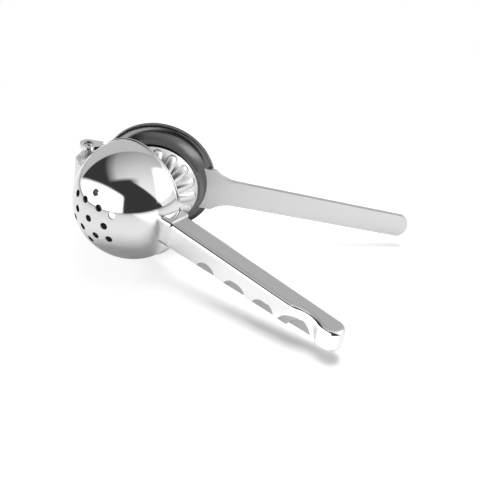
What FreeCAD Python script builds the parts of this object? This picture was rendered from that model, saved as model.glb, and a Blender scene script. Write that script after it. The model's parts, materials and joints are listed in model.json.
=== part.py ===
import FreeCAD, Part
import math
import os

from FreeCAD import Placement, Rotation, Vector

doc = FreeCAD.newDocument("lemon_squeezer")

# Sizes in millimetres and degrees

sheet = doc.addObject("Spreadsheet::Sheet", "sizes")
SIZES = [
    ("open_angle", 33),
    ("lean_angle", 9.5),
    ("hinge_offset", 7.6),
    ("bowl_radius", 35),
    ("bowl_wall", 1.2),
    ("bowl_band", 2.6),
    ("rim_drop", 0.6),
    ("lip_radius", 0.7),
    ("juice_hole", 4.2),
    ("holes_per_ring", 6),
    ("inner_ring_angle", 17.5),
    ("outer_ring_angle", 26.5),
    ("ring_turn", 118),
    ("pin_diameter", 4),
    ("pin_clearance", 0.05),
    ("pin_head_diameter", 5.6),
    ("pin_head_rise", 0.7),
    ("pin_dimple", 2.6),
    ("pin_dimple_depth", 1.6),
    ("boss_radius", 5.4),
    ("lug_boss", 3.4),
    ("lug_width", 22),
    ("lug_depth", 11.5),
    ("lug_root_depth", 18),
    ("lug_rim_gap", 0.4),
    ("ear_gap", 2.7),
    ("ear_thickness", 2.2),
    ("ear_upper_angle", 105),
    ("ear_lower_angle", 275),
    ("ear_overlap", 2),
    ("collar_length", 4.4),
    ("collar_wall", 0.8),
    ("grip_end", 198),
    ("grip_root_width", 15.6),
    ("grip_tip_width", 11.8),
    ("grip_root_depth", 14),
    ("grip_tip_depth", 13),
    ("grip_splay", 3.5),
    ("grip_edge_round", 3),
    ("grip_low_edge_round", 1.2),
    ("scallop_count", 4),
    ("scallop_first", 29),
    ("scallop_radius", 7.5),
    ("scallop_height", 5),
    ("scallop_depth", 1),
    ("last_scallop_scale", 1.35),
    ("waist_to_tip", 20.8),
    ("waist_radius", 17),
    ("waist_depth", 2.6),
    ("waist_end_round", 9),
    ("flange_front", 2.8),
    ("flange_wall", 1.5),
    ("flange_lip", 1.7),
    ("plug_base_radius", 29.8),
    ("cove_margin", 0.5),
    ("plate_gap", 0.7),
    ("plug_top_radius", 28),
    ("plug_height", 11),
    ("ledge_width", 3.4),
    ("dome_rise", 13),
    ("dome_wall", 1.4),
    ("rib_count", 16),
    ("rib_radius", 4.2),
    ("rib_lift", 1.2),
    ("rib_inner_angle", 16),
    ("short_rib_cut", 8),
    ("plate_thickness", 2.4),
    ("plate_end", 196),
    ("plate_width", 17),
    ("plate_tip_width", 14.8),
    ("plate_root_width", 27),
    ("plate_neck", 92),
    ("plate_flare", 0.4),
    ("plate_tip_corner", 4.7),
    ("plate_edge_round", 0.6),
]
for row, (word, number) in enumerate(SIZES, start=1):
    sheet.set(f"A{row}", word)
    sheet.set(f"B{row}", str(number))
    sheet.setAlias(f"B{row}", word)
doc.recompute()


def size(word):
    return float(getattr(sheet, word))


# Sketch helpers

PLANES = {"XY": "XY_Plane", "XZ": "XZ_Plane", "YZ": "YZ_Plane"}


def new_body(name):
    body = doc.addObject("PartDesign::Body", name)
    body.Label = name
    return body


def new_sketch(body, name, plane):
    sketch = body.newObject("Sketcher::SketchObject", name)
    origin = next(f for f in body.Origin.OriginFeatures if f.Role == PLANES[plane])
    sketch.AttachmentSupport = [(origin, "")]
    sketch.MapMode = "FlatFace"
    return sketch


def flat(x, y):
    return Vector(x, y, 0)


def line(sketch, start, end):
    sketch.addGeometry(Part.LineSegment(flat(*start), flat(*end)), False)


def arc(sketch, start, middle, end):
    sketch.addGeometry(Part.Arc(flat(*start), flat(*middle), flat(*end)), False)


def polar(centre, radius, degrees):
    turn = math.radians(degrees)
    return (centre[0] + radius * math.cos(turn), centre[1] + radius * math.sin(turn))


def add_pad(body, sketch, name, expression):
    pad = body.newObject("PartDesign::Pad", name)
    pad.Profile = sketch
    pad.SideType = "Symmetric"
    pad.setExpression("Length", expression)
    body.Tip = pad
    return pad


def add_revolution(body, sketch, name, axis):
    turned = body.newObject("PartDesign::Revolution", name)
    turned.Profile = sketch
    turned.ReferenceAxis = (sketch, [axis])
    turned.Angle = 360
    body.Tip = turned
    return turned


def keep(name, shape):
    piece = doc.addObject("Part::Feature", name)
    piece.Label = name
    piece.Shape = shape
    return piece


def main_solid(shape):
    """The largest solid of a cut shape, without slivers left behind the cutter."""
    return max(shape.Solids, key=lambda solid: solid.Volume)


# Cup half, drawn with the pin at the origin, the rim plane facing +Y and the grip along +X

radius = size("bowl_radius")
reach = radius + size("hinge_offset")
wall = size("bowl_wall")
band = size("bowl_band")
drop = size("rim_drop")
lip = size("lip_radius")
ball_y = -drop - band
ball_centre = Vector(reach, ball_y, 0)

cup_shell = new_body("cup_shell")
cup_sketch = new_sketch(cup_shell, "cup_sketch", "XY")
inside = radius - wall
slant = math.sqrt(0.5)
lip_y = -drop - lip
arc(cup_sketch, (radius, lip_y - lip), (radius + lip, lip_y), (radius, lip_y + lip))
line(cup_sketch, (radius, lip_y + lip), (inside, -drop))
line(cup_sketch, (inside, -drop), (inside, ball_y))
arc(cup_sketch, (inside, ball_y), (inside * slant, ball_y - inside * slant), (0, ball_y - inside))
line(cup_sketch, (0, ball_y - inside), (0, ball_y - radius))
arc(cup_sketch, (0, ball_y - radius), (radius * slant, ball_y - radius * slant), (radius, ball_y))
line(cup_sketch, (radius, ball_y), (radius, lip_y - lip))
add_revolution(cup_shell, cup_sketch, "cup_turned", "V_Axis")
doc.recompute()



def juice_hole(tilt, turn):
    """Drill through the bowl wall, tilted from the bowl's axis and turned about it."""
    tilt, turn = math.radians(tilt), math.radians(turn)
    away = Vector(math.sin(tilt) * math.cos(turn), -math.cos(tilt), math.sin(tilt) * math.sin(turn))
    start = Vector(0, ball_y, 0) + away * (radius - 4 * wall)
    return Part.makeCylinder(size("juice_hole") / 2, 8 * wall, start, away)


hole_tools = [juice_hole(0, 0)]
holes_per_ring = int(size("holes_per_ring"))
for step in range(holes_per_ring):
    turn = size("ring_turn") + 360 / holes_per_ring * step
    hole_tools.append(juice_hole(size("inner_ring_angle"), turn))
    hole_tools.append(juice_hole(size("outer_ring_angle"), turn + 180 / holes_per_ring))
cup_shape = cup_shell.Shape.cut(Part.makeCompound(hole_tools))
cup_shape.translate(Vector(reach, 0, 0))

# Grip and collar share one tapered section

grip_start = reach + radius + size("collar_length")
grip_end = size("grip_end")
splay = math.tan(math.radians(size("grip_splay")))


def taper(first, last, x):
    share = (x - grip_start) / (grip_end - grip_start)
    return size(first) + (size(last) - size(first)) * share


def grip_inner(x):
    return -drop - splay * (x - grip_start)


def grip_outer(x):
    return grip_inner(x) - taper("grip_root_depth", "grip_tip_depth", x)


def half_width(x):
    return taper("grip_root_width", "grip_tip_width", x) / 2


grip_body = new_body("grip_blank")
grip_side = new_sketch(grip_body, "grip_side", "XY")
tip_depth = size("grip_tip_depth")
straight = grip_end - tip_depth / 2
tip_middle = (grip_end, (grip_inner(straight) + grip_outer(straight)) / 2)
line(grip_side, (grip_start, grip_outer(grip_start)), (grip_start, grip_inner(grip_start)))
line(grip_side, (grip_start, grip_inner(grip_start)), (straight, grip_inner(straight)))
arc(grip_side, (straight, grip_inner(straight)), tip_middle, (straight, grip_outer(straight)))
line(grip_side, (straight, grip_outer(straight)), (grip_start, grip_outer(grip_start)))
add_pad(grip_body, grip_side, "grip_pad", "sizes.grip_root_width * 2")
doc.recompute()

beyond = grip_end + tip_depth
below = -2 * grip_end
side_wedge = Part.Face(Part.makePolygon([
    Vector(grip_start, below, half_width(grip_start)),
    Vector(beyond, below, half_width(beyond)),
    Vector(beyond, below, -half_width(beyond)),
    Vector(grip_start, below, -half_width(grip_start)),
    Vector(grip_start, below, half_width(grip_start)),
])).extrude(Vector(0, -2 * below, 0))
grip_shape = grip_body.Shape.common(side_wedge)

# Waist in the outer side near the tip, its two ends rounded before the long edges are
waist_middle = grip_end - size("waist_to_tip")
waist = size("waist_radius")
waist_depth = size("waist_depth")
waist_start = Vector(waist_middle, grip_outer(waist_middle) + waist_depth - waist, -2 * tip_depth)
grip_shape = grip_shape.cut(Part.makeCylinder(waist, 4 * tip_depth, waist_start))
waist_reach = 1.2 * math.sqrt(waist ** 2 - (waist - waist_depth) ** 2)
waist_ends = [
    edge for edge in grip_shape.Edges
    if edge.BoundBox.XLength < edge.BoundBox.ZLength and abs(edge.CenterOfMass.x - waist_middle) < waist_reach
]
grip_shape = grip_shape.makeFillet(size("waist_end_round"), waist_ends)


def outer_long_edge(shape, shortest, up):
    """Edges along the grip's outer side, away from the press, at its top or its bottom."""
    found = []
    for edge in shape.Edges:
        middle = edge.CenterOfMass
        centre_line = (grip_inner(middle.x) + grip_outer(middle.x)) / 2
        if edge.BoundBox.XLength > shortest and middle.y < centre_line and middle.z * up > 0:
            found.append(edge)
    return found


for word, up in (("grip_edge_round", 1), ("grip_low_edge_round", -1)):
    shortest = (grip_end - grip_start) / 2
    grip_shape = grip_shape.makeFillet(size(word), outer_long_edge(grip_shape, shortest, up))

# Shallow finger scallops on the lower half of the outer side, the last one larger and in the waist
AWAY = Vector(0, -1, 0)
scallop_count = int(size("scallop_count"))
scallop_first = grip_start + size("scallop_first")
scallop_pitch = (waist_middle - scallop_first) / (scallop_count - 1)
for count in range(scallop_count):
    x = scallop_first + scallop_pitch * count
    scale = 1
    floor_y = grip_outer(x) + size("scallop_depth")
    if count == scallop_count - 1:
        scale = size("last_scallop_scale")
        floor_y += waist_depth
    bite = scale * size("scallop_radius")
    centre_z = scale * size("scallop_height") - bite - half_width(x)
    grip_shape = grip_shape.cut(Part.makeCylinder(bite, 2 * tip_depth, Vector(x, floor_y, centre_z), AWAY))

# Solid of the bowl's outside, that the collar and the lug are fitted against
OPENING = Vector(0, 1, 0)
ball_solid = Part.makeSphere(radius, ball_centre)
band_solid = Part.makeCylinder(radius, band + radius, ball_centre, OPENING)
lip_solid = Part.makeCylinder(radius + lip, radius, Vector(reach, -drop - 2 * lip, 0), OPENING)
bowl_solid = ball_solid.fuse([band_solid, lip_solid])

collar_grow = size("collar_wall")
collar_half = half_width(grip_start) + collar_grow
collar_top = grip_inner(grip_start)
collar_low = grip_outer(grip_start) - collar_grow
collar_box = Part.makeBox(
    grip_start - reach, collar_top - collar_low, 2 * collar_half, Vector(reach, collar_low, -collar_half)
)
collar_edges = [
    edge for edge in collar_box.Edges
    if edge.BoundBox.XLength > radius / 2 and edge.CenterOfMass.y < (collar_top + collar_low) / 2
]
collar_shape = collar_box.makeFillet(size("grip_edge_round"), collar_edges).cut(bowl_solid)

# Hinge lug of the cup half

lug_body = new_body("lug_blank")
lug_sketch = new_sketch(lug_body, "lug_sketch", "XY")
boss = size("boss_radius")
knuckle = size("lug_boss")
depth = size("lug_depth")
shelf = reach - 0.8 * radius
root_y = -size("lug_root_depth")
throat = -drop - 2 * lip - size("lug_rim_gap")
shoulder = (0.2 * size("hinge_offset"), -depth)
line(lug_sketch, (knuckle, 0), (knuckle, throat))
line(lug_sketch, (knuckle, throat), (shelf, throat))
line(lug_sketch, (shelf, throat), (shelf, root_y))
line(lug_sketch, (shelf, root_y), shoulder)
line(lug_sketch, shoulder, (-knuckle, 0))
arc(lug_sketch, (-knuckle, 0), (0, knuckle), (knuckle, 0))
add_pad(lug_body, lug_sketch, "lug_pad", "sizes.lug_width")
doc.recompute()
pin_radius = size("pin_diameter") / 2


def pin_hole(hole_radius):
    return Part.makeCylinder(hole_radius, 2 * reach, Vector(0, 0, -reach), Vector(0, 0, 1))


lug_bore = pin_hole(pin_radius + size("pin_clearance"))
lug_shape = lug_body.Shape.cut([bowl_solid, lug_bore])

# Press half, drawn closed over the cup with the pin at the origin

front = size("flange_front")
flange = size("flange_wall")
edge_lip = size("flange_lip")
plug_low = size("plug_base_radius")
plug_high = size("plug_top_radius")
plug_y = front - size("plug_height")
ledge_in = plug_high - size("ledge_width")
dish_body = new_body("dish_blank")
dish_sketch = new_sketch(dish_body, "dish_sketch", "XY")
cove_edge = radius - size("cove_margin")
cove = (cove_edge - plug_high, front - plug_y)
back_cove = (cove[0] + flange, cove[1] + flange)


def cove_point(axes, turn):
    return (cove_edge - axes[0] * math.cos(turn), plug_y + axes[1] * math.sin(turn))


def cove_arc(sketch, axes, start, end):
    """Part of the quarter ellipse that hollows the wall between the flange and the plug."""
    long_end = flat(cove_edge, plug_y + axes[1])
    short_end = flat(cove_edge - axes[0], plug_y)
    ellipse = Part.Ellipse(long_end, short_end, flat(cove_edge, plug_y))
    sketch.addGeometry(Part.ArcOfEllipse(ellipse, math.pi / 2 - end, math.pi / 2 - start), False)


back_low = math.asin(flange / back_cove[1])
back_high = math.acos((flange - size("cove_margin")) / back_cove[0])
cove_arc(dish_sketch, cove, 0, math.pi / 2)
cove_arc(dish_sketch, back_cove, back_low, back_high)
dish_front = [
    (cove_edge, front),
    (radius, front),
    (radius, front + flange + edge_lip),
    (radius - flange, front + flange + edge_lip),
    cove_point(back_cove, back_high),
]
dish_top = [
    cove_point(back_cove, back_low),
    (ledge_in, plug_y + flange),
    (ledge_in, plug_y),
    (plug_high, plug_y),
]
for corners in (dish_front, dish_top):
    for start, end in zip(corners, corners[1:]):
        line(dish_sketch, start, end)
add_revolution(dish_body, dish_sketch, "dish_turned", "V_Axis")
doc.recompute()
dish_shape = dish_body.Shape.copy()
dish_shape.translate(Vector(reach, 0, 0))

rise = size("dome_rise")
dome_seat = ledge_in + (plug_high - ledge_in) * 0.5
dome_radius = (dome_seat ** 2 + rise ** 2) / (2 * rise)
dome_mid = plug_y - rise + dome_radius
dome_ball = Part.makeSphere(dome_radius, Vector(0, dome_mid, 0))
dome_hollow = Part.makeSphere(dome_radius - size("dome_wall"), Vector(0, dome_mid, 0))
rib = size("rib_radius")
rib_path = dome_radius - rib + size("rib_lift")
rib_outer = math.degrees(math.asin(dome_seat / dome_radius) - rib / dome_radius)
CENTRE = Vector(0, 0, 0)


def dome_rib(count):
    """Round-ended bow along the dome, every second one shorter, turned to its place."""
    stretch = rib_outer - size("rib_inner_angle")
    if count % 2:
        stretch -= size("short_rib_cut")
    bow = Part.makeTorus(rib_path, rib, CENTRE, Vector(0, 0, 1), -180, 180, stretch)
    for turn in (0, stretch):
        bow = bow.fuse(Part.makeSphere(rib, flat(*polar((0, 0), rib_path, turn))))
    bow.rotate(CENTRE, Vector(0, 0, 1), rib_outer - stretch - 90)
    bow.translate(Vector(0, dome_mid, 0))
    bow.rotate(CENTRE, Vector(0, 1, 0), 360 / size("rib_count") * count)
    return bow


rib_solids = [dome_rib(count) for count in range(int(size("rib_count")))]
above = Part.makeCylinder(plug_high * 2, rise * 3, Vector(0, plug_y, 0), AWAY)
dome_shape = dome_ball.fuse(rib_solids).cut(dome_hollow).common(above).removeSplitter()
dome_shape.translate(Vector(reach, 0, 0))

# Press handle, a flat plate whose root lies on the flange and meets the plug

plate_body = new_body("plate_blank")
plate_sketch = new_sketch(plate_body, "plate_sketch", "XZ")
root = size("plate_root_width") / 2
neck = size("plate_width") / 2
tip = size("plate_end")
neck_x = size("plate_neck")
rim_x = reach + radius
flare = size("plate_flare")
flare_point = (rim_x + flare * (neck_x - rim_x), neck + (1 - flare) ** 2 * 0.8 * (root - neck))
tip_x = tip - size("plate_tip_corner")
tip_half = size("plate_tip_width") / 2
for up in (1, -1):
    line(plate_sketch, (reach, up * root), (rim_x, up * root))
    arc(plate_sketch, (rim_x, up * root), (flare_point[0], up * flare_point[1]), (neck_x, up * neck))
    line(plate_sketch, (neck_x, up * neck), (tip_x, up * tip_half))
arc(plate_sketch, (tip_x, tip_half), (tip, 0), (tip_x, -tip_half))
line(plate_sketch, (reach, -root), (reach, root))
add_pad(plate_body, plate_sketch, "plate_pad", "sizes.plate_thickness")
doc.recompute()
thick = size("plate_thickness")
plate_shape = plate_body.Shape.copy()
plate_shape.translate(Vector(0, front - thick / 2, 0))
clear = plug_low + size("plate_gap")
plug_clear = Part.makeCylinder(clear, 2 * size("plug_height"), Vector(reach, front, 0), AWAY)
plate_shape = main_solid(plate_shape.cut([plug_clear, dish_shape]))
rim_edges = [
    edge for edge in plate_shape.Edges
    if edge.BoundBox.YLength < thick / 10 and edge.CenterOfMass.x > rim_x + thick
]
plate_shape = plate_shape.makeFillet(size("plate_edge_round"), rim_edges)

# Ears and pin

ear_start = size("lug_width") / 2 + size("ear_gap")
ear_body = new_body("ear_blank")
ear_sketch = new_sketch(ear_body, "ear_sketch", "XY")
ring_edge = reach - math.sqrt(radius ** 2 - (ear_start + size("ear_thickness")) ** 2)
ring_back = front + flange + edge_lip
ear_top = polar((0, 0), boss, size("ear_upper_angle"))
ear_middle_turn = (size("ear_upper_angle") + size("ear_lower_angle")) / 2
ear_foot = polar((0, 0), boss, size("ear_lower_angle"))
inside_x = ring_edge + size("ear_overlap")
line(ear_sketch, ear_foot, (inside_x, front))
line(ear_sketch, (inside_x, front), (inside_x, ring_back))
line(ear_sketch, (inside_x, ring_back), ear_top)
arc(ear_sketch, ear_top, polar((0, 0), boss, ear_middle_turn), ear_foot)
add_pad(ear_body, ear_sketch, "ear_pad", "sizes.ear_thickness")
doc.recompute()
dish_envelope = Part.makeCylinder(radius, radius, Vector(reach, front, 0), OPENING)
ear_shape = ear_body.Shape.cut([dish_envelope, pin_hole(pin_radius)])
ear_middle = ear_start + size("ear_thickness") / 2


def ear_at(height):
    ear = ear_shape.copy()
    ear.translate(Vector(0, 0, height))
    return main_solid(ear.cut(dish_shape))


upper_ear = ear_at(ear_middle)
lower_ear = ear_at(-ear_middle)

pin_body = new_body("pin_blank")
pin_sketch = new_sketch(pin_body, "pin_sketch", "XZ")
head = size("pin_head_diameter") / 2
head_z = ear_start + size("ear_thickness")
pin_top = head_z + size("pin_head_rise")
dimple = size("pin_dimple") / 2
dimple_floor = pin_top - size("pin_dimple_depth")
head_flat = dimple + 0.35 * (head - dimple)
head_edge = head_z + 0.3 * size("pin_head_rise")
head_bend = (head_flat + 0.7 * (head - head_flat), head_z + 0.8 * size("pin_head_rise"))
for up in (1, -1):
    line(pin_sketch, (0, up * dimple_floor), (dimple, up * dimple_floor))
    line(pin_sketch, (dimple, up * dimple_floor), (dimple, up * pin_top))
    line(pin_sketch, (dimple, up * pin_top), (head_flat, up * pin_top))
    arc(pin_sketch, (head_flat, up * pin_top), (head_bend[0], up * head_bend[1]), (head, up * head_edge))
    line(pin_sketch, (head, up * head_edge), (head, up * head_z))
    line(pin_sketch, (head, up * head_z), (pin_radius, up * head_z))
line(pin_sketch, (pin_radius, head_z), (pin_radius, -head_z))
line(pin_sketch, (0, -dimple_floor), (0, dimple_floor))
add_revolution(pin_body, pin_sketch, "pin_turned", "V_Axis")
doc.recompute()

# Both halves are opened about the pin, leaned towards the tips and set down on the floor

lean = Rotation(Vector(0, 1, 0), size("lean_angle"))
half_open = size("open_angle") / 2
cup_turn = lean.multiply(Rotation(Vector(0, 0, 1), -half_open))
press_turn = lean.multiply(Rotation(Vector(0, 0, 1), half_open))
pieces = [
    ("perforated_cup", cup_shape, cup_turn),
    ("cup_hinge_lug", lug_shape, cup_turn),
    ("handle_collar", collar_shape, cup_turn),
    ("cup_handle", grip_shape, cup_turn),
    ("press_dish", dish_shape, press_turn),
    ("press_dome", dome_shape, press_turn),
    ("press_handle", plate_shape, press_turn),
    ("upper_ear", upper_ear, press_turn),
    ("lower_ear", lower_ear, press_turn),
    ("hinge_pin", pin_body.Shape, press_turn),
]
made = []
for name, shape, turn in pieces:
    piece = keep(name, shape)
    piece.Placement = Placement(Vector(0, 0, 0), turn).multiply(shape.Placement)
    made.append(piece)
doc.recompute()
boxes = [piece.Shape.optimalBoundingBox(False, False) for piece in made]
middle_x = (min(b.XMin for b in boxes) + max(b.XMax for b in boxes)) / 2
middle_y = (min(b.YMin for b in boxes) + max(b.YMax for b in boxes)) / 2
floor_z = min(b.ZMin for b in boxes)
set_down = Placement(Vector(-middle_x, -middle_y, -floor_z), Rotation())
for piece in made:
    piece.Placement = set_down.multiply(piece.Placement)
doc.recompute()

for item in doc.Objects:
    if "Invalid" in item.State or "Error" in item.State:
        raise RuntimeError(f"{item.Name} did not build")
os.makedirs("parts", exist_ok=True)
for piece in made:
    if piece.Shape.isNull() or not piece.Shape.isValid() or len(piece.Shape.Solids) != 1:
        raise RuntimeError(f"{piece.Label} is not one sound solid")
    piece.Shape.exportStep(f"parts/{piece.Label}.step")
print("pin centre", [round(v, 4) for v in (-middle_x, -middle_y, -floor_z)])
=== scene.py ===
import math

import bmesh
import bpy
from mathutils import Matrix, Vector
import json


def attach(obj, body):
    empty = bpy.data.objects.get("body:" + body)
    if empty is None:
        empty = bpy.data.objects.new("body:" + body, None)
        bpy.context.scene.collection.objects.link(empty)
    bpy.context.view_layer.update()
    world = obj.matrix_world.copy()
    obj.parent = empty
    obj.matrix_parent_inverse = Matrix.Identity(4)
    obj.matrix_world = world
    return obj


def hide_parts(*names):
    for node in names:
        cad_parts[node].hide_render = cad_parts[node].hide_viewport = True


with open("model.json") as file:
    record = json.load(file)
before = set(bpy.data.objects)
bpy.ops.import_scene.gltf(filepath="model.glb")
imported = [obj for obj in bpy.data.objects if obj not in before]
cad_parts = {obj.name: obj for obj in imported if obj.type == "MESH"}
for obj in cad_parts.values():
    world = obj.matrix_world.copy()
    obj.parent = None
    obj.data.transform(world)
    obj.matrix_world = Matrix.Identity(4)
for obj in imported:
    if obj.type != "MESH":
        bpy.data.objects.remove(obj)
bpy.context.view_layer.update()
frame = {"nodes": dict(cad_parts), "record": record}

# The camera stands where the photograph was taken from, measured from the hinge pin
AZIMUTH = math.radians(22.8)
ELEVATION = math.radians(29.7)
PIN = Vector(frame["record"]["behaviour"]["joints"][0]["pos_m"])
PIN_IN_VIEW = Vector((-0.0920, 0.0442, -0.5447))
RIGHT = Vector((math.cos(AZIMUTH), math.sin(AZIMUTH), 0))
FRONT = Vector((math.sin(AZIMUTH), -math.cos(AZIMUTH), 0))
BACK = FRONT * math.cos(ELEVATION) + Vector((0, 0, math.sin(ELEVATION)))
UP = BACK.cross(RIGHT)

turn = Matrix((RIGHT, UP, BACK)).transposed()
lens = bpy.data.cameras.new("camera")
lens.lens = 67.8
lens.sensor_width = 36
lens.clip_start = 0.01
camera = bpy.data.objects.new("camera", lens)
bpy.context.scene.collection.objects.link(camera)
camera.matrix_world = Matrix.Translation(PIN - turn @ PIN_IN_VIEW) @ turn.to_4x4()
bpy.context.scene.camera = camera
bpy.context.scene.view_settings.view_transform = "Standard"


def node(tree, kind, **settings):
    made = tree.nodes.new(kind)
    for key, value in settings.items():
        if key.startswith("in_"):
            made.inputs[key[3:].replace("_", " ")].default_value = value
        else:
            setattr(made, key, value)
    return made


def math_node(tree, operation, first, second=None, clamp=False):
    made = tree.nodes.new("ShaderNodeMath")
    made.operation = operation
    made.use_clamp = clamp
    for place, value in enumerate((first, second)):
        if value is None:
            continue
        if isinstance(value, (int, float)):
            made.inputs[place].default_value = value
        else:
            tree.links.new(value, made.inputs[place])
    return made.outputs[0]


def vector_node(tree, operation, first, second=None):
    made = tree.nodes.new("ShaderNodeVectorMath")
    made.operation = operation
    tree.links.new(first, made.inputs[0])
    if second is not None:
        made.inputs[1].default_value = second
    return made.outputs["Value" if operation in ("DOT_PRODUCT", "LENGTH") else "Vector"]


def ramp(tree, value, start, length):
    """0 up to start, rising to 1 over length."""
    return math_node(tree, "DIVIDE", math_node(tree, "SUBTRACT", value, start), length, clamp=True)


def grey(tree, level):
    combine = node(tree, "ShaderNodeCombineColor")
    for channel in ("Red", "Green", "Blue"):
        tree.links.new(level, combine.inputs[channel])
    return combine.outputs["Color"]


def mix_shaders(tree, share, first, second):
    made = node(tree, "ShaderNodeMixShader")
    for place, value in enumerate((share, first, second)):
        tree.links.new(value, made.inputs[place])
    return made.outputs[0]


# World: a light tent, open and dark on the camera's side, with a soft box at each hand

world = bpy.data.worlds.new("tent")
bpy.context.scene.world = world
world.use_nodes = True
sky = world.node_tree
sky.nodes.clear()
direction = node(sky, "ShaderNodeTexCoord").outputs["Generated"]


def dot(axis):
    return vector_node(sky, "DOT_PRODUCT", direction, axis)


def seen(aim):
    """A direction given as parts to the camera's right, towards the camera and up."""
    return RIGHT * aim[0] + FRONT * aim[1] + Vector((0, 0, aim[2]))


def side(aim, soft, shift=0.0):
    """1 where the direction leans towards aim, 0 where it leans away, soft in between."""
    return ramp(sky, dot(seen(aim).normalized()), -shift, soft)


def region(corners, soft):
    """Mask of a convex card in the sky, given by the directions of its corners."""
    points = [seen(corner).normalized() for corner in corners]
    middle = sum(points, Vector())
    mask = None
    for first, second in zip(points, points[1:] + points[:1]):
        edge = first.cross(second).normalized()
        if edge.dot(middle) < 0:
            edge.negate()
        inside = math_node(sky, "DIVIDE", dot(edge), soft, clamp=True)
        mask = inside if mask is None else math_node(sky, "MULTIPLY", mask, inside)
    return mask


def layer(value, mask, strength):
    kept = math_node(sky, "MULTIPLY", value, math_node(sky, "SUBTRACT", 1, mask))
    return math_node(sky, "ADD", kept, math_node(sky, "MULTIPLY", mask, strength))


BACKDROP = 0.62
DARK_STUDIO = 0.045
ROOF = 0.66
BOX = 2.2
DIFFUSE_TENT = 0.27
LEFT_BOX = [(-0.15, 0.86, 0.52), (-0.558, 0.514, 0.648), (-0.743, -0.668, -0.03), (-0.20, 0.97, -0.08)]
RIGHT_BOX = [
    (0.458, -0.127, 0.88), (0.655, 0.402, 0.639), (0.739, 0.646, 0.12), (0.97, 0.1, 0.11), (0.8, -0.5, 0.33)
]

studio = side((0, 1, 0), 0.04, 0.58)
roof_glow = math_node(sky, "ADD", dot(RIGHT * 0.22 + FRONT * 0.45), ROOF)
roof = math_node(sky, "MULTIPLY", side((1, 0, 0.9), 0.3), side((0, -1, 0.58), 0.12))
wing = math_node(sky, "MULTIPLY", side((1, 0, 0), 0.3), side((0.6, -1, 0.62), 0.05))
glow = layer(BACKDROP, studio, DARK_STUDIO)
for mask in (roof, wing):
    glow = layer(glow, math_node(sky, "MULTIPLY", studio, mask), roof_glow)
for corners, softness in ((LEFT_BOX, 0.10), (RIGHT_BOX, 0.16)):
    glow = layer(glow, region(corners, softness), BOX)
background = node(sky, "ShaderNodeBackground")
sky.links.new(grey(sky, glow), background.inputs["Color"])
soft_light = node(sky, "ShaderNodeBackground", in_Color=(DIFFUSE_TENT, DIFFUSE_TENT, DIFFUSE_TENT, 1))
for_diffuse = node(sky, "ShaderNodeLightPath").outputs["Is Diffuse Ray"]
chosen = mix_shaders(sky, for_diffuse, background.outputs[0], soft_light.outputs[0])
sky.links.new(chosen, node(sky, "ShaderNodeOutputWorld").inputs["Surface"])

# The two halves, as drawn in the CAD with the pin at the origin, in millimetres

LEAN = Matrix.Rotation(math.radians(9.5), 4, "Y")
HALF_OPEN = math.radians(16.5)
CUP_FRAME = Matrix.Translation(PIN) @ LEAN @ Matrix.Rotation(-HALF_OPEN, 4, "Z")
PRESS_FRAME = Matrix.Translation(PIN) @ LEAN @ Matrix.Rotation(HALF_OPEN, 4, "Z")
MM = 0.001
REACH = 42.6
BOWL = 35.0
WALL = 1.2
RIM_Y = -0.6
BALL_Y = RIM_Y - 2.6
AROUND = 256
HINGE_AXIS = LEAN.to_3x3() @ Vector((0, 0, 1))
GRIP_START = 82.0
GRIP_END = 198.0
GRIP_ROOT_WIDTH = 15.6
GRIP_TIP_WIDTH = 11.8
GRIP_MIDDLE_Y = -12.0
SCALLOP_COUNT = 4
SCALLOP_FIRST = 29.0
SCALLOP_PITCH = 20.2
SCALLOP_RADIUS = 7.5
SCALLOP_HEIGHT = 5.0
LAST_SCALLOP_SCALE = 1.35
MASK_MARGIN = 0.03


def scallop_wall(count):
    """A finger scallop of the grip: its centre within the grip, its axis and its radius, in metres."""
    x = GRIP_START + SCALLOP_FIRST + SCALLOP_PITCH * count
    share = (x - GRIP_START) / (GRIP_END - GRIP_START)
    scale = LAST_SCALLOP_SCALE if count == SCALLOP_COUNT - 1 else 1
    half_width = (GRIP_ROOT_WIDTH + (GRIP_TIP_WIDTH - GRIP_ROOT_WIDTH) * share) / 2
    centre = Vector((x, GRIP_MIDDLE_Y, scale * (SCALLOP_HEIGHT - SCALLOP_RADIUS) - half_width)) * MM
    radius = (scale * SCALLOP_RADIUS + MASK_MARGIN) * MM
    return CUP_FRAME @ centre, CUP_FRAME.to_3x3() @ Vector((0, 1, 0)), radius


SCALLOPS = [scallop_wall(count) for count in range(SCALLOP_COUNT)]

# Materials


def new_material(name):
    made = bpy.data.materials.new(name)
    made.use_nodes = True
    made.node_tree.nodes.clear()
    return made, made.node_tree


FINISHES = {
    "polished": dict(color=0.82, roughness=0.05, grain=(900, 900, 900), strength=0.01, spread=0.02),
    # Painted highlight: the grip's polish is painted brighter than the plain polish
    "grip_polished_painted_bright": dict(color=0.96, roughness=0.05, grain=(900, 900, 900), strength=0.01, spread=0.02),
    # Painted shade: the scallops are rougher, and their colour is painted dark
    "scallop": dict(color=0.42, roughness=0.40, grain=(900, 900, 900), strength=0.20, spread=0.06),
    # Painted shade: the grip's satin is painted darker than the plate's satin
    "grip_satin": dict(color=0.70, roughness=0.36, grain=(160, 2600, 2600), strength=0.18, spread=0.06),
    "satin": dict(color=0.78, roughness=0.36, grain=(160, 2600, 2600), strength=0.18, spread=0.06),
    "pin": dict(color=0.45, roughness=0.22, grain=(900, 900, 900), strength=0.05, spread=0.05),
    # Painted shade and reflection: the turned finish's colour is painted nearly black
    "turned_and_painted_dark": dict(color=0.17, roughness=0.26, grain=(500, 500, 500), strength=0.05, spread=0.06),
    "blasted": dict(color=0.88, roughness=0.27, grain=(900, 900, 900), strength=0.10, spread=0.05),
    # Painted shade: the bowl's inside and its hole walls are painted dark
    "inside": dict(color=0.12, roughness=0.35, grain=(500, 500, 500), strength=0.1, spread=0.08),
}


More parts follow.
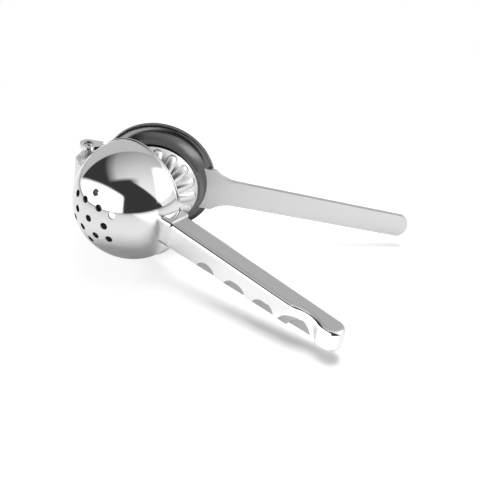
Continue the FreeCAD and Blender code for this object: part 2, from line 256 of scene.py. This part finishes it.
def steel_surface(tree, color, roughness, grain, strength, spread):
    shader = node(tree, "ShaderNodeBsdfPrincipled", in_Metallic=1.0)
    coordinates = node(tree, "ShaderNodeTexCoord").outputs["Object"]
    mapping = node(tree, "ShaderNodeMapping")
    mapping.inputs["Scale"].default_value = grain
    mapping.inputs["Rotation"].default_value = (0, math.radians(9.5), 0)
    tree.links.new(coordinates, mapping.inputs["Vector"])
    scratch = node(tree, "ShaderNodeTexNoise", in_Scale=1.0, in_Detail=4.0, in_Roughness=0.6)
    tree.links.new(mapping.outputs[0], scratch.inputs["Vector"])
    smudge = node(tree, "ShaderNodeTexNoise", in_Scale=38.0, in_Detail=3.0)
    tree.links.new(coordinates, smudge.inputs["Vector"])
    both = math_node(tree, "ADD", scratch.outputs["Fac"], smudge.outputs["Fac"])
    mixed = math_node(tree, "MULTIPLY", both, 0.5)
    rough = node(tree, "ShaderNodeMapRange")
    rough.inputs["To Min"].default_value = max(roughness - spread, 0.02)
    rough.inputs["To Max"].default_value = roughness + spread
    tree.links.new(mixed, rough.inputs["Value"])
    tree.links.new(rough.outputs["Result"], shader.inputs["Roughness"])
    tone = node(tree, "ShaderNodeMixRGB")
    tone.inputs["Color1"].default_value = (color * 0.94, color * 0.94, color * 0.94, 1)
    tone.inputs["Color2"].default_value = (color, color, color * 1.01, 1)
    tree.links.new(mixed, tone.inputs["Fac"])
    tree.links.new(tone.outputs[0], shader.inputs["Base Color"])
    bump = node(tree, "ShaderNodeBump", in_Strength=strength, in_Distance=0.0002)
    tree.links.new(scratch.outputs["Fac"], bump.inputs["Height"])
    tree.links.new(bump.outputs[0], shader.inputs["Normal"])
    return shader.outputs[0]


def steel(finish):
    made, tree = new_material(f"{finish}_steel")
    surface = steel_surface(tree, **FINISHES[finish])
    tree.links.new(surface, node(tree, "ShaderNodeOutputMaterial").inputs["Surface"])
    return made


def scallop_mask(tree, position, centre, along, radius):
    """1 within a scallop, a cylinder given in world metres, and 0 elsewhere."""
    offset = vector_node(tree, "SUBTRACT", position, centre)
    across = vector_node(tree, "CROSS_PRODUCT", offset, along)
    inside = math_node(tree, "LESS_THAN", vector_node(tree, "LENGTH", across), radius)
    outwards = vector_node(tree, "DOT_PRODUCT", offset, -along)
    return math_node(tree, "MULTIPLY", inside, math_node(tree, "GREATER_THAN", outwards, -0.002))


def grip_steel(axis):
    """Satin on the flat sides, square to the hinge axis, a satin painted darker than the plate's as painted
    shade; rough in the scallops and painted darker still as painted shade; polished on the rest, painted
    brighter as painted highlight.
    """
    made, tree = new_material("grip_steel")
    coordinates = node(tree, "ShaderNodeTexCoord")
    facing = vector_node(tree, "DOT_PRODUCT", coordinates.outputs["Normal"], axis)
    share = ramp(tree, math_node(tree, "ABSOLUTE", facing), 0.85, 0.05)
    # Painted shade: this scallop mask picks the rough finish whose colour is painted dark
    rough_and_shaded_scallops = 0.0
    for centre, along, radius in SCALLOPS:
        scallop = scallop_mask(tree, coordinates.outputs["Object"], centre, along, radius)
        rough_and_shaded_scallops = math_node(tree, "MAXIMUM", rough_and_shaded_scallops, scallop)
    surface = steel_surface(tree, **FINISHES["grip_polished_painted_bright"])
    for mask, finish in ((share, "grip_satin"), (rough_and_shaded_scallops, "scallop")):
        surface = mix_shaders(tree, mask, surface, steel_surface(tree, **FINISHES[finish]))
    tree.links.new(surface, node(tree, "ShaderNodeOutputMaterial").inputs["Surface"])
    return made


finishes = {finish: steel(finish) for finish in ("polished", "satin", "pin")}
# Painted shade: dark steel for the bowl's inside and its hole walls
painted_bowl_shade = steel("inside")
for part in frame["record"]["subparts"]:
    cad = frame["nodes"][part["node"]]
    cad.data.materials.clear()
    cad.data.materials.append(finishes[part["material_slot"]])
frame["nodes"]["cup_handle"].data.materials[0] = grip_steel(HINGE_AXIS)
frame["nodes"]["press_dome"].data.materials[0] = steel("blasted")
frame["nodes"]["cup_hinge_lug"].data.materials[0] = finishes["satin"]

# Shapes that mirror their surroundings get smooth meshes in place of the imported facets


def arc_points(centre, radius, start, end, steps):
    """Points of an arc in the profile plane, in degrees from start to end."""
    made = []
    for step in range(steps + 1):
        angle = math.radians(start + (end - start) * step / steps)
        made.append((centre[0] + radius * math.cos(angle), centre[1] + radius * math.sin(angle)))
    return made


def lathe(name, profile, frame_matrix, around=AROUND):
    """Closed profile of (radius, height) in millimetres, spun about the bowl's axis."""
    verts, faces, rings = [], [], []
    for radius, height in profile:
        if radius < 1e-6:
            rings.append([len(verts)])
            verts.append((REACH * MM, height * MM, 0))
            continue
        rings.append(list(range(len(verts), len(verts) + around)))
        for step in range(around):
            angle = 2 * math.pi * step / around
            across, up = radius * math.cos(angle), radius * math.sin(angle)
            verts.append(((REACH + across) * MM, height * MM, up * MM))
    for first, second in zip(rings, rings[1:] + rings[:1]):
        if len(first) == 1 and len(second) == 1:
            continue
        for step in range(around):
            after = (step + 1) % around
            corners = [first[step % len(first)], first[after % len(first)]]
            corners += [second[after % len(second)], second[step % len(second)]]
            faces.append(list(dict.fromkeys(corners)))
    mesh = bpy.data.meshes.new(name)
    mesh.from_pydata(verts, [], faces)
    mesh.transform(frame_matrix)
    made = bpy.data.objects.new(name, mesh)
    bpy.context.scene.collection.objects.link(made)
    fix = bmesh.new()
    fix.from_mesh(mesh)
    bmesh.ops.recalc_face_normals(fix, faces=fix.faces)
    fix.to_mesh(mesh)
    fix.free()
    mesh.shade_smooth()
    return made


def soften(piece, degrees=35):
    piece.data.set_sharp_from_angle(angle=math.radians(degrees))


def finish_piece(piece, body, slot_name, *nodes):
    piece.data.materials.append(finishes[slot_name])
    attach(piece, body)
    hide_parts(*nodes)


inner = BOWL - WALL
bowl_profile = [(BOWL, BALL_Y), (BOWL, RIM_Y - 1.6)]
bowl_profile += arc_points((BOWL, RIM_Y - 0.7), 0.7, -75, 80, 8)
bowl_profile += [(inner + 0.2, RIM_Y), (inner, RIM_Y - 0.3), (inner, BALL_Y)]
bowl_profile += arc_points((0, BALL_Y), inner, 0, -90, 64)[1:-1]
bowl_profile += [(0, BALL_Y - inner), (0, BALL_Y - BOWL)]
bowl_profile += arc_points((0, BALL_Y), BOWL, -90, 0, 64)[1:-1]
bowl = lathe("bowl", bowl_profile, CUP_FRAME)

HOLE = 2.1
drills = bmesh.new()
for tilt, start, count in ((0, 0, 1), (17.5, 118, 6), (26.5, 148, 6)):
    for step in range(count):
        away = Vector((0, -1, 0))
        away.rotate(Matrix.Rotation(math.radians(tilt), 3, "Z"))
        away.rotate(Matrix.Rotation(math.radians(-start - 360 / count * step), 3, "Y"))
        centre = Vector((REACH, BALL_Y, 0)) + away * (BOWL - WALL / 2)
        place = Matrix.Translation(centre * MM) @ away.to_track_quat("Z", "Y").to_matrix().to_4x4()
        ends = dict(radius1=HOLE * MM, radius2=HOLE * MM)
        bmesh.ops.create_cone(drills, cap_ends=True, segments=40, depth=6 * MM, matrix=place, **ends)
drill_mesh = bpy.data.meshes.new("drills")
drills.to_mesh(drill_mesh)
drills.free()
drill_mesh.transform(CUP_FRAME)
drill_object = bpy.data.objects.new("drills", drill_mesh)
bpy.context.scene.collection.objects.link(drill_object)
cut = bowl.modifiers.new("holes", "BOOLEAN")
cut.operation = "DIFFERENCE"
cut.solver = "EXACT"
cut.object = drill_object
bpy.context.view_layer.update()
drilled = bpy.data.meshes.new_from_object(bowl.evaluated_get(bpy.context.evaluated_depsgraph_get()))
bowl.modifiers.clear()
bowl.data = drilled
bpy.data.objects.remove(drill_object)
ball_centre = CUP_FRAME @ Vector((REACH * MM, BALL_Y * MM, 0))
bowl_axis = CUP_FRAME.to_3x3() @ Vector((0, 1, 0))
default_normals = [n.vector.copy() for n in drilled.corner_normals]
exact_normals = list(default_normals)
# Faces of the inner sphere and the walls of the holes take slot 1, the dark painted shade
for face in drilled.polygons:
    for outward, size in ((1, BOWL * MM), (-1, inner * MM)):
        offsets = [drilled.vertices[v].co - ball_centre for v in face.vertices]
        below = all(o.dot(bowl_axis) < 1e-5 for o in offsets)
        if below and all(abs(o.length - size) < 2e-5 for o in offsets):
            for loop, offset in zip(face.loop_indices, offsets):
                exact_normals[loop] = offset.normalized() * outward
            if outward < 0:
                face.material_index = 1
    middle = face.center - ball_centre
    if abs(face.normal.dot(middle.normalized())) < 0.4 and middle.dot(bowl_axis) < -0.02:
        for loop in face.loop_indices:
            exact_normals[loop] = face.normal.copy()
        face.material_index = 1
drilled.normals_split_custom_set(exact_normals)
finish_piece(bowl, "cup_half", "polished", "perforated_cup")
drilled.materials.append(painted_bowl_shade)

FRONT_Y = 2.8
BACK_Y = 6.0
PLUG = 28.0
LEDGE = PLUG - 3.4
LEDGE_Y = FRONT_Y - 11
EDGE = BOWL - 0.5
SHEET = 1.5


def cove(grow, start, end, steps):
    """Quarter ellipse between the flange and the plug, grown outwards by grow."""
    made = []
    for step in range(steps + 1):
        angle = math.radians(start + (end - start) * step / steps)
        across = (EDGE - PLUG + grow) * math.cos(angle)
        made.append((EDGE - across, LEDGE_Y + (FRONT_Y - LEDGE_Y + grow) * math.sin(angle)))
    return made


dish_profile = [(LEDGE, LEDGE_Y), (PLUG - 0.4, LEDGE_Y), (PLUG - 0.1, LEDGE_Y + 0.1)]
dish_profile += cove(0, 2, 90, 40)
dish_profile += [(BOWL - 0.2, FRONT_Y), (BOWL, FRONT_Y + 0.2), (BOWL, BACK_Y - 0.3), (BOWL - 0.3, BACK_Y)]
dish_profile += [(BOWL - SHEET + 0.3, BACK_Y), (BOWL - SHEET, BACK_Y - 0.3)]
dish_profile += cove(SHEET, 82, 8, 30)
dish_profile += [(LEDGE, LEDGE_Y + SHEET)]
dish = lathe("dish", dish_profile, PRESS_FRAME)
soften(dish)
finish_piece(dish, "press_half", "polished", "press_dish")
# Painted shade and reflection: the dish's turned finish is painted dark for its cove
dish.data.materials[0] = steel("turned_and_painted_dark")

# Floor: camera rays see white paper, and mirrored rays see it greyer, a painted shade in its reflections,
# but brighter beside the grip, a painted reflection that lights the grip's sides

FLOOR_REACH = 6.0
corners = [(x * FLOOR_REACH, y * FLOOR_REACH, 0) for x, y in ((-1, -1), (1, -1), (1, 1), (-1, 1))]
floor_mesh = bpy.data.meshes.new("floor")
floor_mesh.from_pydata(corners, [], [(0, 1, 2, 3)])
floor = bpy.data.objects.new("floor", floor_mesh)
bpy.context.scene.collection.objects.link(floor)
paper, tree = new_material("paper")
direct = node(tree, "ShaderNodeLightPath").outputs["Is Camera Ray"]
place = node(tree, "ShaderNodeTexCoord").outputs["Object"]
to_right = vector_node(tree, "DOT_PRODUCT", place, RIGHT)
OUTSIDE = CUP_FRAME.to_3x3() @ Vector((0, -1, 0))
outside = ramp(tree, vector_node(tree, "DOT_PRODUCT", place, OUTSIDE), OUTSIDE.dot(PIN) + 0.012, 0.015)
# Painted reflection: mirrored rays see the floor brighter beside the grip, lighting the grip's sides
painted_sheen_beside_grip = math_node(tree, "MULTIPLY", ramp(tree, to_right, 0.0, 0.05), outside)
# Painted shade: elsewhere mirrored rays see the floor greyer, at 0.62
mirrored = math_node(tree, "ADD", math_node(tree, "MULTIPLY", painted_sheen_beside_grip, 0.38), 0.62)
shader = node(tree, "ShaderNodeBsdfPrincipled", in_Roughness=0.9)
tree.links.new(grey(tree, math_node(tree, "MAXIMUM", mirrored, direct)), shader.inputs["Base Color"])

# For camera rays the paper glows plain white far from the part, and before the bowl, where the glow is
# painted light over the bowl's shadow, as the photograph is
far = ramp(tree, vector_node(tree, "LENGTH", place), 0.16, 0.2)
# Painted light: the floor glows white before the bowl, over the bowl's shadow
painted_light_before_bowl = math_node(tree, "MULTIPLY", ramp(tree, to_right, 0.02, -0.07), 0.9)
even_white_and_painted_light = math_node(tree, "MULTIPLY", math_node(tree, "MAXIMUM", far, painted_light_before_bowl), direct)
white = node(tree, "ShaderNodeEmission", in_Color=(1, 1, 1, 1), in_Strength=1.0)
surface = mix_shaders(tree, even_white_and_painted_light, shader.outputs[0], white.outputs[0])
tree.links.new(surface, node(tree, "ShaderNodeOutputMaterial").inputs["Surface"])
floor_mesh.materials.append(paper)

# A large key light above and behind, and a weak fill from the front left


def area_light(name, location, energy, **shape):
    lamp = bpy.data.lights.new(name, "AREA")
    lamp.energy = energy
    for key, value in shape.items():
        setattr(lamp, key, value)
    made = bpy.data.objects.new(name, lamp)
    bpy.context.scene.collection.objects.link(made)
    made.visible_glossy = False
    made.location = location
    made.rotation_euler = location.to_track_quat("Z", "Y").to_euler()


area_light("key", seen((0.1, -0.32, 1.05)), 17, shape="RECTANGLE", size=0.75, size_y=0.9)
area_light("fill", seen((-0.6, 0.95, 0.75)), 4, shape="DISK", size=0.8)
